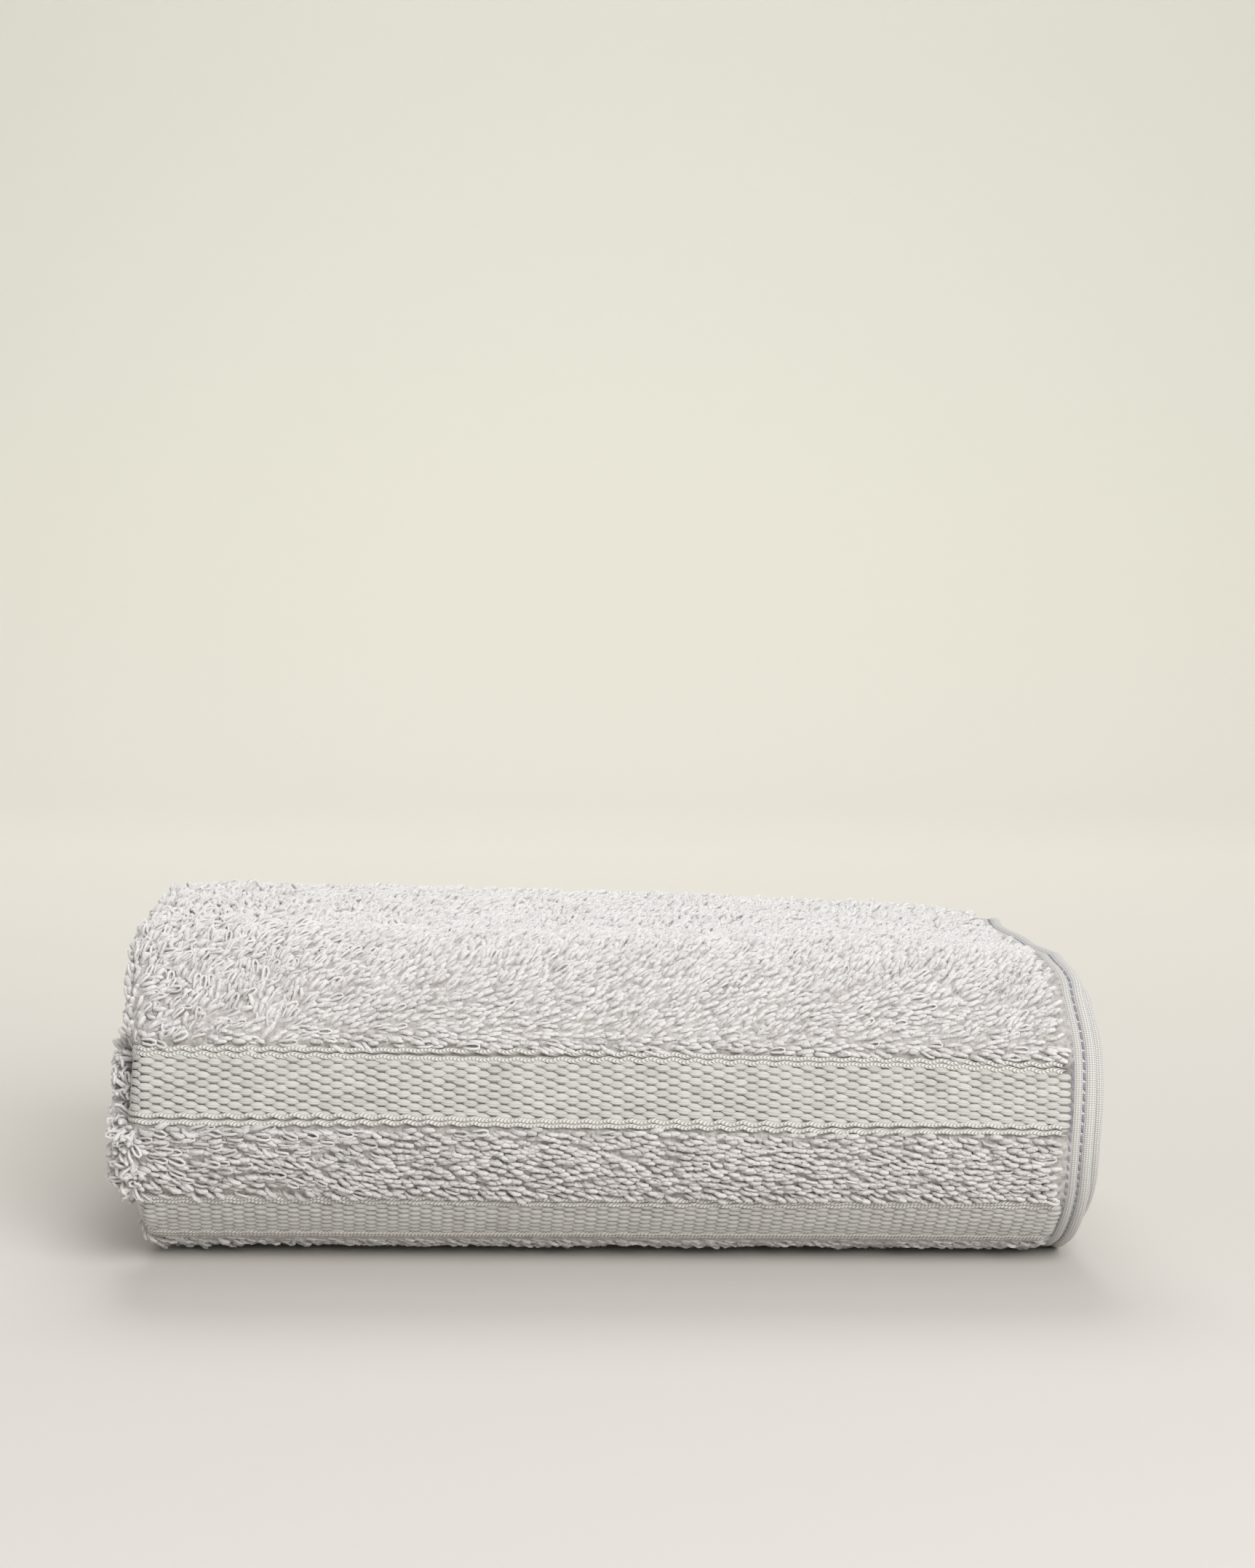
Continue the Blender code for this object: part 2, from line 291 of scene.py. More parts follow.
def linear(code):
    """An sRGB hex colour as linear RGBA."""
    parts = [int(code[at : at + 2], 16) / 255 for at in (1, 3, 5)]
    return (*(p / 12.92 if p <= 0.04045 else ((p + 0.055) / 1.055) ** 2.4 for p in parts), 1.0)


def add(tree, kind, inputs=(), stops=(), **settings):
    """Adds a node with its settings. inputs pairs its sockets with values, or with the sockets that feed
    them, and stops are a colour ramp's places and colours."""
    made = tree.nodes.new("ShaderNode" + kind)
    for setting, value in settings.items():
        setattr(made, setting, value)
    for socket, value in inputs:
        if isinstance(value, bpy.types.NodeSocket):
            tree.links.new(value, made.inputs[socket])
        else:
            made.inputs[socket].default_value = value
    if stops:
        marks = made.color_ramp.elements
        for _ in stops[2:]:
            marks.new(1.0)
        for mark, (place, colour) in zip(marks, stops):
            mark.position = place
            mark.color = linear(colour)
    return made


def finish_of(name, roughness, sheen):
    """A new cotton finish. Cotton has no gloss, only the soft sheen of its fibres."""
    made = bpy.data.materials.new(name)
    made.use_nodes = True
    surface = made.node_tree.nodes["Principled BSDF"]
    surface.inputs["Roughness"].default_value = roughness
    surface.inputs["Metallic"].default_value = 0.0
    surface.inputs["IOR"].default_value = 1.45
    surface.inputs["Specular IOR Level"].default_value = 0.25
    surface.inputs["Sheen Weight"].default_value = sheen
    surface.inputs["Sheen Roughness"].default_value = 0.4
    return made, made.node_tree, surface


def join_roll(data, finish):
    """A mesh as a piece that rides on the roll."""
    data.materials.append(finish)
    data.shade_smooth()
    piece = bpy.data.objects.new(data.name, data)
    bpy.context.collection.objects.link(piece)
    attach(piece, "root")
    return piece


def place_piece(mesh, name, finish):
    """The same from a bmesh."""
    data = bpy.data.meshes.new(name)
    mesh.to_mesh(data)
    mesh.free()
    return join_roll(data, finish)


# Plain-woven cotton ground: the roots of the pile make it look like fleece, mottled and dull. It shows
# only as the dark between the loops: it is the same cotton as the loops, painted darker as painted shade
# for the deep gaps between them, and darker still under the borders' thick yarns, as painted shade
PILE_ROOT_MM = 2.0
PAINTED_SHADE_UNDER_BORDERS = 0.5  # painted shade: how much darker the ground is painted under the borders

ground, tree, surface = finish_of("cotton ground weave", 0.95, 0.2)
where = add(tree, "TexCoord")
roots = add(tree, "TexNoise", [
    ("Vector", where.outputs["Object"]), ("Scale", 1 / (PILE_ROOT_MM * MM)), ("Detail", 3.0)])
own = add(tree, "Attribute", attribute_name="tone_and_shading")
tone_and_shading = add(tree, "Math", [(0, roots.outputs["Fac"]), (1, own.outputs["Fac"])], operation="MULTIPLY")
tones = add(tree, "ValToRGB", [("Fac", tone_and_shading.outputs["Value"])],
            stops=((0.05, "#66615D"), (0.35, "#A19C98"), (0.62, "#C6C2BF")))
tree.links.new(tones.outputs["Color"], surface.inputs["Base Color"])
bumps = add(tree, "Bump", [("Height", roots.outputs["Fac"]), ("Strength", 0.7), ("Distance", 0.8 * MM)])
tree.links.new(bumps.outputs["Normal"], surface.inputs["Normal"])

ROWS_INSIDE = (1, 12, 5, 14, 5)  # rows of the grid on each stretch of the inner laps
ROWS_OUTSIDE = (2, 26, 9, 44, 9)
SHEET_COLUMNS = 44
FOLD_COLUMNS = 8
HEM_WIDTH = 9.4
HEM_TUCK = 5.0  # the ground ends inside the folded hem


def grid_runs():
    """The runs of the cloth grid's rows, closer on the outermost lap."""
    runs = [FIRST_RUN]
    while runs[-1] < LAST_RUN - 0.001:
        stretch = int(round(runs[-1] * 1e6)) // 1000000
        rows = (ROWS_OUTSIDE if stretch >= OUTER_RUN else ROWS_INSIDE)[stretch % STRETCHES]
        runs += [stretch + (k + 1) / rows for k in range(rows)]
    return np.array(runs)


runs = grid_runs()
side_columns = (SHEET_COLUMNS - FOLD_COLUMNS) // 2
quarter_fold = GROUND_HEIGHT * math.pi / 2
per_row = SHEET_COLUMNS + 1
mesh = bmesh.new()
bmesh.ops.create_grid(mesh, x_segments=SHEET_COLUMNS, y_segments=len(runs) - 1, size=1)
mesh.verts.ensure_lookup_table()
run_of = np.repeat(runs, per_row)
outer_end = outer_reach(runs, HEM_TUCK, GROUND_HEIGHT)
inner_end = inner_reach(runs, HEM_TUCK, GROUND_HEIGHT)
fold = np.linspace(-quarter_fold, quarter_fold, FOLD_COLUMNS + 1)
reach = np.empty((len(runs), per_row))
for at, (out, back) in enumerate(zip(outer_end, inner_end)):
    reach[at] = np.concatenate([
        np.linspace(back, -quarter_fold, side_columns, endpoint=False),
        fold,
        np.linspace(quarter_fold, out, side_columns + 1)[1:],
    ])
# The ground stands as high as the pile's roots, lower under the borders and at the hems. Under the roll
# the outer layer lies almost on the floor
pressed = pressed_flat(run_of).reshape(reach.shape)
facing_down = np.clip(reach / quarter_fold, 0, 1)
bare = np.clip(on_borders(run_of) + band_share(run_of) * 0.5, 0, 1).reshape(reach.shape)
far = np.minimum(np.abs(reach - outer_end[:, None]), np.abs(reach - inner_end[:, None]))
off_hem = smooth_step(HEM_WIDTH - HEM_TUCK, HEM_WIDTH, far)
bed = GROUND_HEIGHT + (BED_HEIGHT - GROUND_HEIGHT) * (1 - bare) * off_hem
height = bed + pressed * facing_down * (LAYER - 0.3 - GROUND_THICK - bed)
points = cloth(run_of, reach.ravel(), height.ravel())
for vertex, point in zip(mesh.verts, points):
    vertex.co = point
towel = place_piece(mesh, "towel_cloth", ground)
# Painted shade: the ground is coloured darker under the borders
shade = towel.data.attributes.new("tone_and_shading", "FLOAT", "POINT")
shade.data.foreach_set("value", (1.0 - PAINTED_SHADE_UNDER_BORDERS * on_borders(run_of)).astype(np.float32))
thicken = towel.modifiers.new("ground thickness", "SOLIDIFY")
thicken.thickness = GROUND_THICK * MM
thicken.offset = 0.0
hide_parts("towel_roll")


# The woven borders: each has a basket weave whose cells are bundles of three thick weft yarns, between
# corded ribs that wave from cell to cell. No pile grows on them, so they lie lower than the terry.
CELL_LONG = 5.9
CELL_WIDE = 2.8
CELL_HIGH = 1.4
CELL_COLUMN = 3.95
CELL_ROW = 3.1
CELL_STRAY = (0.12, 0.15)  # along the cloth and across it
CELL_SLANT = (4.0, 3.0)  # in degrees, and how much that varies
CELL_TONES = 0.09
FIRST_CELL = 6.6
CELLS_IN_COLUMN = 7
ROUND_FOLD = 14.0  # the cells and ribs go on round the fold
BORDER_GROUND = 4.2  # the ground's upper side under the borders, as a height in the cloth
MOTTLE_MM = 9.0

# Thick cotton yarns, hardly twisted and beaten close: smooth and matt, a yellower grey than the pile, in
# places a little darker. Each cell is painted darker towards its edges, as painted shade in the slits
# between the cells. A bump parts each cell's three yarns, which lie side by side
border_finish, tree, surface = finish_of("woven cotton border", 0.85, 0.2)
where = add(tree, "TexCoord")
layout = add(tree, "UVMap", uv_map="yarn")
mottle = add(tree, "TexNoise", [
    ("Vector", where.outputs["Object"]), ("Scale", 1 / (MOTTLE_MM * MM)), ("Detail", 4.0)])
own = add(tree, "Attribute", attribute_name="tone_and_shading")
tone_and_shading = add(tree, "Math", [(0, mottle.outputs["Fac"]), (1, 0.4), (2, own.outputs["Fac"])],
           operation="MULTIPLY_ADD")
tones = add(tree, "ValToRGB", [("Fac", tone_and_shading.outputs["Value"])],
            stops=((0.15, "#8C8882"), (0.62, "#C2C0BC"), (0.9, "#D0CFCB")))
tree.links.new(tones.outputs["Color"], surface.inputs["Base Color"])
yarns = add(tree, "TexWave", [("Vector", layout.outputs["UV"]), ("Scale", 0.314), ("Distortion", 0.5),
                              ("Phase Offset", math.pi / 2)], bands_direction="Y")
bumps = add(tree, "Bump", [("Height", yarns.outputs["Fac"]), ("Strength", 0.5), ("Distance", 0.3 * MM)])
tree.links.new(bumps.outputs["Normal"], surface.inputs["Normal"])


def unit(vectors):
    return vectors / np.maximum(np.linalg.norm(vectors, axis=-1, keepdims=True), 1e-12)


def placed(run, reach, height):
    """Points on the cloth with their directions across it, along it and out of it."""
    here = cloth(run, reach, height)
    across = unit(cloth(run, reach + 0.3, height) - cloth(run, reach - 0.3, height))
    along = unit(cloth(run + 0.004, reach, height) - cloth(run - 0.004, reach, height))
    out = unit(np.cross(along, across))
    return here, across, np.cross(across, out), out


ROOT_SHADE = 0.22  # painted shade: how much darker a yarn is painted where it comes out of the cloth, where little light reaches


def copies(name, pattern, axes, places, tones, finish, root_shade=ROOT_SHADE):
    """One piece of many like ones: the pattern in millimetres, turned by each copy's axes and put in place."""
    pattern.verts.ensure_lookup_table()
    points = np.array([vertex.co for vertex in pattern.verts]) * MM
    corners = np.array([corner.vert.index for face in pattern.faces for corner in face.loops])
    sizes = np.array([len(face.verts) for face in pattern.faces])
    layer = pattern.loops.layers.uv.active
    flat = [corner[layer].uv for face in pattern.faces for corner in face.loops] if layer else []
    count = len(places)
    spots = np.einsum("nij,kj->nki", axes, points) + places[:, None, :]
    spots[..., 2] = np.maximum(spots[..., 2], 0.0)  # what would reach through the floor lies flat on it
    data = bpy.data.meshes.new(name)
    data.vertices.add(count * len(points))
    data.vertices.foreach_set("co", spots.astype(np.float32).ravel())
    data.loops.add(count * len(corners))
    shifted = corners[None, :] + (np.arange(count) * len(points))[:, None]
    data.loops.foreach_set("vertex_index", shifted.astype(np.int32).ravel())
    data.polygons.add(count * len(sizes))
    sizes = np.tile(sizes, count)
    data.polygons.foreach_set("loop_start", (np.cumsum(sizes) - sizes).astype(np.int32))
    data.polygons.foreach_set("loop_total", sizes.astype(np.int32))
    data.update(calc_edges=True)
    if layer:
        flat = np.tile(np.array(flat), (count, 1)).astype(np.float32)
        data.uv_layers.new(name="yarn").data.foreach_set("uv", flat.ravel())
    # Painted shade: each copy is coloured darker towards its root, stored with its own random tone in one
    # attribute
    depth = np.clip(1 - points[:, 2] / points[:, 2].max(), 0, 1)
    shades = tones[:, None] - root_shade * depth[None, :]
    data.attributes.new("tone_and_shading", "FLOAT", "POINT").data.foreach_set("value", shades.astype(np.float32).ravel())
    pattern.free()
    return join_roll(data, finish)


def weft_cell():
    """A bundle of three weft yarns, bulging between the warps that hold its ends down."""
    pattern = bmesh.new()
    layer = pattern.loops.layers.uv.new("yarn")
    bmesh.ops.create_grid(pattern, x_segments=6, y_segments=6, size=1)
    for face in pattern.faces:
        for corner in face.loops:
            corner[layer].uv = (corner.vert.co.x * 2.0, math.sin(corner.vert.co.y * math.pi / 2) * 1.5)
    for vertex in pattern.verts:
        lengthwise, crosswise = (math.sin(part * math.pi / 2) for part in vertex.co.xy)
        full = max(0.0, 1 - abs(lengthwise) ** 2.4) ** 0.5
        vertex.co.x = lengthwise * CELL_LONG / 2
        vertex.co.y = crosswise * max(full, 0.15) * CELL_WIDE / 2
        vertex.co.z = CELL_HIGH * full * max(0.0, 1 - abs(crosswise) ** 4) ** 0.4
    return pattern


def border_weave(name, start, mirrored, slit_shade, tone_and_shading):
    """The basket cells of one border, column by column from the hem round the fold."""
    rng = random.Random(7)
    places = []
    columns = int((outer_reach(front_run(start), HEM_WIDTH, LAYER) + ROUND_FOLD) / CELL_COLUMN)
    for column in range(columns):
        for row in range(CELLS_IN_COLUMN):
            along = FIRST_CELL + CELL_ROW * (row - 0.5 * (column % 2))
            along += rng.uniform(-CELL_STRAY[0], CELL_STRAY[0])
            along = BORDER_WIDTH - along if mirrored else along
            from_hem = HEM_WIDTH + 0.4 + CELL_COLUMN * (column + 0.5)
            from_hem += rng.uniform(-CELL_STRAY[1], CELL_STRAY[1])
            places.append((start + along, from_hem))
    along, from_hem = np.array(places).T
    run = front_run(along)
    reach = outer_reach(run, from_hem, BORDER_GROUND)
    here, across, down, out = placed(run, reach, BORDER_GROUND)
    draws = np.random.default_rng(11)
    size = draws.uniform(0.92, 1.06, (len(run), 3))
    slant = np.radians(draws.normal(*CELL_SLANT, len(run)))[:, None]
    level = across * np.cos(slant) + down * np.sin(slant)
    axes = np.stack([level * size[:, :1], np.cross(out, level) * size[:, 1:2], out * size[:, 2:]], axis=-1)
    tones = tone_and_shading + draws.uniform(-CELL_TONES, CELL_TONES, len(run))
    return copies(name, weft_cell(), axes, here, tones, border_finish, slit_shade)


RIB_WIDE = 2.0
RIB_HIGH = 2.1
RIB_SUNK = 0.3
RIB_WAVE = 0.6
RIB_STEP = 1.2
RIBS = (1.5, 3.85, 26.0, 28.2)  # their middles, from the border's edge with the two wide ribs
CROSS_RIB_MM = 1.3  # 0.75 on the cloth, drawn coarser so that it shows

# Fine cotton yarns woven over a thick one: light bars across each rib, with the grooves between them painted
# darker, as painted shade
rib_finish, tree, surface = finish_of("corded cotton rib", 0.85, 0.2)
layout = add(tree, "UVMap", uv_map="yarn")
cross = add(tree, "TexWave", [
    ("Vector", layout.outputs["UV"]), ("Scale", 0.314 / CROSS_RIB_MM), ("Distortion", 0.6)])
tones = add(tree, "ValToRGB", [("Fac", cross.outputs["Fac"])], stops=((0.0, "#9E9B96"), (0.7, "#DBD9D5")))
tree.links.new(tones.outputs["Color"], surface.inputs["Base Color"])
bumps = add(tree, "Bump", [("Height", cross.outputs["Fac"]), ("Strength", 0.6), ("Distance", 0.12 * MM)])
tree.links.new(bumps.outputs["Normal"], surface.inputs["Normal"])


def border_ribs(name, start, mirrored):
    """The corded ribs of one border, each a half-round strip that waves with the cells."""
    mesh = bmesh.new()
    layer = mesh.loops.layers.uv.new("yarn")
    turns = np.linspace(0, math.pi, 8)
    count = int((outer_reach(front_run(start), HEM_WIDTH, LAYER) + ROUND_FOLD) / RIB_STEP)
    from_hem = HEM_WIDTH + 0.2 + RIB_STEP * np.arange(count + 1)
    for at, middle in enumerate(RIBS):
        middle = BORDER_WIDTH - middle if mirrored else middle
        strength = RIB_WAVE * (0.7 + 0.3 * np.sin(from_hem / 23.0 + at))
        wave = strength * np.sin(from_hem * math.pi / CELL_COLUMN + at // 2)
        drift = 0.35 * np.sin(from_hem / 41.0 + 2.0 * at) + 0.2 * np.sin(from_hem / 17.0 + at)
        along = (start + middle + wave + drift)[:, None] + RIB_WIDE / 2 * np.cos(turns)[None, :]
        bulge = RIB_HIGH * np.sin(turns)[None, :] ** 0.6
        height = BORDER_GROUND - RIB_SUNK + bulge * np.ones_like(along)
        reach = outer_reach(front_run(start + middle + 0 * along), from_hem[:, None], BORDER_GROUND)
        strip = cloth(front_run(along), reach, height)
        before = len(mesh.verts)
        bmesh.ops.create_grid(mesh, x_segments=len(turns) - 1, y_segments=count, size=1)
        mesh.verts.ensure_lookup_table()
        for vertex, point in zip(mesh.verts[before:], strip.reshape(-1, 3)):
            vertex.co = point
        mesh.faces.ensure_lookup_table()
        mesh.verts.index_update()
        for face in mesh.faces[-(len(turns) - 1) * count:]:
            for corner in face.loops:
                row, column = divmod(corner.vert.index - before, len(turns))
                corner[layer].uv = (from_hem[row], float(turns[column]))
    bmesh.ops.recalc_face_normals(mesh, faces=mesh.faces)
    return place_piece(mesh, name, rib_finish)


# The lower border turns away from the light: its slits are painted darker, as painted shade, and its yarns
# painted paler than the upper border's, as painted light
border_pieces = [
    border_weave("upper_border_weave", UPPER_BORDER, False, slit_shade=0.15, tone_and_shading=0.53),
    border_ribs("upper_border_ribs", UPPER_BORDER, False),
    border_weave("lower_border_weave", LOWER_BORDER, True, slit_shade=0.7, tone_and_shading=0.70),
    border_ribs("lower_border_ribs", LOWER_BORDER, True),
]


# The side hems: each selvedge is turned under twice and sewn down along two lines, which pull the tape
# in. The outer layer's lies on top, and the inner layer's shows past it.
HEM_LINES = (8.6, 4.4)  # the two lines of stitches, from the edge
HEM_THICK = 2.9
HEM_PROFILE = (
    # from the edge, height over the hem's middle, as shares of its half thickness
    (9.7, 0.40),
    (9.1, 0.12),
    (8.2, 0.12),
    (7.7, 0.62),
    (6.6, 0.72),
    (5.2, 0.66),
    (4.8, 0.16),
    (4.1, 0.16),
    (3.6, 0.78),
    (2.4, 1.00),
    (1.0, 0.92),
    (0.25, 0.50),
)
WARP_MM = 0.95
WEFT_MM = 0.8

# Plain-woven cotton tape: a fine matt canvas of crossing threads, painted darker between the threads as
# painted shade. It is the palest part of the towel along its edge, and is painted darker, as painted
# shade, where it lies between the two lines of stitches that pull it in
hem_finish, tree, surface = finish_of("plain-woven hem tape", 0.9, 0.15)
layout = add(tree, "UVMap", uv_map="yarn")
warp = add(tree, "TexWave", [("Vector", layout.outputs["UV"]), ("Scale", 0.314 / WARP_MM), ("Distortion", 0.8),
                             ("Detail Scale", 2.0)], bands_direction="X")
weft = add(tree, "TexWave", [("Vector", layout.outputs["UV"]), ("Scale", 0.314 / WEFT_MM), ("Distortion", 0.8),
                             ("Detail Scale", 2.0)], bands_direction="Y")
woven = add(tree, "Math", [(0, warp.outputs["Fac"]), (1, weft.outputs["Fac"])], operation="MULTIPLY")
parts = add(tree, "SeparateXYZ", [("Vector", layout.outputs["UV"])])
# Painted shade: the tape is coloured darker inward of the outer line of stitches
outside = add(tree, "MapRange", [
    ("Value", parts.outputs["X"]), ("From Min", 5.0), ("From Max", 7.0), ("To Min", 0.75)])
shaded = add(tree, "Math", [(0, woven.outputs["Value"]), (1, outside.outputs["Result"])],
             operation="MULTIPLY")
tones = add(tree, "ValToRGB", [("Fac", shaded.outputs["Value"])], stops=((0.0, "#B0AEAB"), (0.7, "#E6E4E1")))
tree.links.new(tones.outputs["Color"], surface.inputs["Base Color"])
bumps = add(tree, "Bump", [("Height", woven.outputs["Value"]), ("Strength", 0.6), ("Distance", 0.15 * MM)])
tree.links.new(bumps.outputs["Normal"], surface.inputs["Normal"])

OUTER_SEAM = 3.0  # these choose how a hem wanders
INNER_SEAM = 9.0
INSIDE_ROWS = 190
OUTSIDE_ROWS = 230


def hem_wander(runs, seam):
    """How far a hem and its stitches stray from their line."""
    return np.array([noise.noise((run * 6.0, seam, 0.0)) * 0.5 for run in runs])


def hem_sinks(run):
    """How much lower the outer layer's hem lies under the roll, with no pile around it."""
    return pressed_flat(run) * (LAYER - GROUND_HEIGHT - HEM_THICK / 2 - 0.1)


def same_row(edge, columns):
    first, second = (vertex.index // columns for vertex in edge.verts)
    return first == second


def side_hem(name, outer):
    """One layer's hem as a closed flat tube, from the cloth's start to its loose end."""
    inside = np.linspace(FIRST_RUN, OUTER_RUN, INSIDE_ROWS)
    runs = np.concatenate([inside[:-1], np.linspace(OUTER_RUN, LAST_RUN, OUTSIDE_ROWS)])
    lower = [(far, -share) for far, share in reversed(HEM_PROFILE)]
    profile = np.array([*HEM_PROFILE, (0.0, 0.0), *lower])
    columns = len(profile)
    wander = hem_wander(runs, OUTER_SEAM if outer else INNER_SEAM)
    pucker = np.array([noise.noise((run * 45.0, 5.0, 0.0)) * 0.10 for run in runs])
    far = profile[None, :, 0] + wander[:, None]
    height = GROUND_HEIGHT + profile[None, :, 1] * HEM_THICK / 2 * (1 + 2 * pucker[:, None])
    run = np.repeat(runs[:, None], columns, axis=1)
    if outer:
        height = height + hem_sinks(run)
        strip = cloth(run, outer_reach(run, far, height), height)
    else:
        strip = cloth(run, inner_reach(run, far, height), height)
    mesh = bmesh.new()
    layer = mesh.loops.layers.uv.new("yarn")
    bmesh.ops.create_grid(mesh, x_segments=columns - 1, y_segments=len(runs) - 1, size=1)
    mesh.verts.ensure_lookup_table()
    for vertex, point in zip(mesh.verts, strip.reshape(-1, 3)):
        vertex.co = point
    steps = np.linalg.norm(np.diff(strip[:, columns // 2], axis=0), axis=-1) / MM
    gone = np.concatenate([[0.0], np.cumsum(steps)])
    sides = np.hypot(np.diff(profile[:, 0]), np.diff(profile[:, 1]) * HEM_THICK / 2)
    round_it = np.concatenate([[0.0], np.cumsum(sides)])
    for face in mesh.faces:
        for corner in face.loops:
            row, column = divmod(corner.vert.index, columns)
            corner[layer].uv = (round_it[column], gone[row])
    edges = [edge for edge in mesh.edges if len(edge.link_faces) == 1 and same_row(edge, columns)]
    bmesh.ops.holes_fill(mesh, edges=edges)
    bmesh.ops.recalc_face_normals(mesh, faces=mesh.faces)
    return place_piece(mesh, name, hem_finish)


hems = [side_hem("outer_side_hem", True), side_hem("inner_side_hem", False)]


# The hems' stitches: a polyester thread in two lines round the outer layer's hem, each stitch about 3 mm
# long and sunk into the cloth.
STITCH_LONG = 3.2
STITCH_GAP = 0.5
STITCH_HEIGHT = 0.3  # over the hem's middle, as a share of its half thickness
STITCH_SLANT = math.radians(12.0)
THREAD = 0.85
TWIST_MM = 0.6

# Smooth filament thread: cool lilac-grey against the warm cotton, a little glossier, with a fine twist
thread_finish, tree, surface = finish_of("polyester sewing thread", 0.6, 0.1)
surface.inputs["Base Color"].default_value = linear("#8B8995")
where = add(tree, "TexCoord")
twist = add(tree, "TexNoise", [("Vector", where.outputs["Object"]), ("Scale", 1 / (TWIST_MM * MM))])
bumps = add(tree, "Bump", [("Height", twist.outputs["Fac"]), ("Strength", 0.4), ("Distance", 0.1 * MM)])
tree.links.new(bumps.outputs["Normal"], surface.inputs["Normal"])


def stitch():
    """A flattened bead of thread."""
    pattern = bmesh.new()
    turn = Matrix.Rotation(math.pi / 2, 4, "Y")
    bmesh.ops.create_uvsphere(pattern, u_segments=6, v_segments=4, radius=0.5, matrix=turn)
    bmesh.ops.scale(pattern, vec=(STITCH_LONG, THREAD * 1.5, THREAD), verts=pattern.verts)
    return pattern


def stitches(name):
    """Both lines of stitches, a stitch and a gap at a time along the outermost lap."""
    fine = np.linspace(OUTER_RUN + 0.02, LAST_RUN - 0.3, 4000)
    line = cloth(fine, outer_reach(fine, HEM_LINES[1], GROUND_HEIGHT), GROUND_HEIGHT)
    steps = np.linalg.norm(np.diff(line, axis=0), axis=-1)
    gone = np.concatenate([[0.0], np.cumsum(steps)]) / MM
    wanted = np.arange(0.0, gone[-1], STITCH_LONG + STITCH_GAP)
    run = np.tile(np.interp(wanted, gone, fine), len(HEM_LINES))
    far = np.repeat(HEM_LINES, len(wanted)) + hem_wander(run, OUTER_SEAM)
    level = GROUND_HEIGHT + STITCH_HEIGHT * HEM_THICK / 2 + hem_sinks(run)
    here, across, along, out = placed(run, outer_reach(run, far, level), level)
    way = along * math.cos(STITCH_SLANT) + across * math.sin(STITCH_SLANT)
    axes = np.stack([way, np.cross(out, way), out], axis=-1)
    return copies(name, stitch(), axes, here, np.full(len(run), 0.5), thread_finish)


hems.append(stitches("hem_stitches"))


# The terry pile: loops of soft two-ply cotton, about 5 mm long, on both sides of the ground. Most have
# twisted shut into soft fingers, which lean over each other, and at the folded left end many stand open.
YARN = 0.95
PLY_MM = 1.1
SOFT_DEPTH_MM = 1.2  # how far light spreads in the loose cotton
CLOUD_MM = 14.0

# Loose carded cotton: pale and very soft, with a bright rim of fuzz where the light grazes it, and with
# light let through each loop, so that no shadow between the loops is hard. The plies show as a fine bump
pile_finish, tree, surface = finish_of("cotton terry loop", 0.9, 1.0)
surface.inputs["Subsurface Weight"].default_value = 0.7
surface.inputs["Subsurface Radius"].default_value = (1.0, 1.0, 1.0)
surface.inputs["Subsurface Scale"].default_value = SOFT_DEPTH_MM * MM
where = add(tree, "TexCoord")
layout = add(tree, "UVMap", uv_map="yarn")
own = add(tree, "Attribute", attribute_name="tone_and_shading")
mottle = add(tree, "TexNoise", [
    ("Vector", where.outputs["Object"]), ("Scale", 1 / (CLOUD_MM * MM)), ("Detail", 3.0)])
tone_and_shading = add(tree, "Math", [(0, mottle.outputs["Fac"]), (1, 0.4), (2, own.outputs["Fac"])],
           operation="MULTIPLY_ADD")
# The dark end is painted shade: each loop is coloured darker towards its root
tones = add(tree, "ValToRGB", [("Fac", tone_and_shading.outputs["Value"])],
            stops=((0.15, "#A29D9A"), (0.62, "#D2CECC"), (0.9, "#E1DEDC")))
tree.links.new(tones.outputs["Color"], surface.inputs["Base Color"])
twist = add(tree, "TexWave", [
    ("Vector", layout.outputs["UV"]), ("Scale", 0.628 / PLY_MM), ("Distortion", 1.2)],
    bands_direction="DIAGONAL")
bumps = add(tree, "Bump", [("Height", twist.outputs["Fac"]), ("Strength", 0.4), ("Distance", 0.15 * MM)])
tree.links.new(bumps.outputs["Normal"], surface.inputs["Normal"])

# The rings of a yarn's path: forward, sideways, up, and its half width there
SHORT = ((0.0, 0.0, 0.0, 0.75), (0.7, 0.0, 1.5, 0.95), (2.1, 0.0, 2.3, 1.02), (3.3, 0.0, 2.3, 0.90),
         (3.8, 0.0, 2.2, 0.60), (4.0, 0.0, 2.1, 0.0))
LONG = ((0.0, 0.0, 0.0, 0.75), (1.0, 0.0, 1.4, 0.92), (2.8, 0.0, 2.1, 0.98), (4.3, 0.0, 2.2, 0.88),
        (4.9, 0.0, 2.1, 0.58), (5.2, 0.0, 2.0, 0.0))
PLAIN = ((0.0, 0.0, 0.0, 0.75), (0.8, 0.0, 1.5, 0.95), (2.7, 0.0, 2.2, 0.95), (4.1, 0.0, 2.15, 0.60),
         (4.5, 0.0, 2.1, 0.0))
PLUMP = ((0.0, 0.0, 0.0, 0.80), (0.8, 0.0, 1.4, 1.02), (2.4, 0.0, 2.2, 1.12), (3.8, 0.0, 2.2, 0.98),
         (4.4, 0.0, 2.1, 0.62), (4.65, 0.0, 2.0, 0.0))
LOOSE = ((0.0, 0.0, 0.0, 0.75), (2.5, 0.0, 0.8, 1.1), (6.0, 0.0, 1.2, 1.1), (9.5, 0.0, 1.5, 0.80),
         (11.0, 0.0, 1.6, 0.0))
FINGER_FLAT = 0.85
FINGER_TWIST = math.radians(25.0)
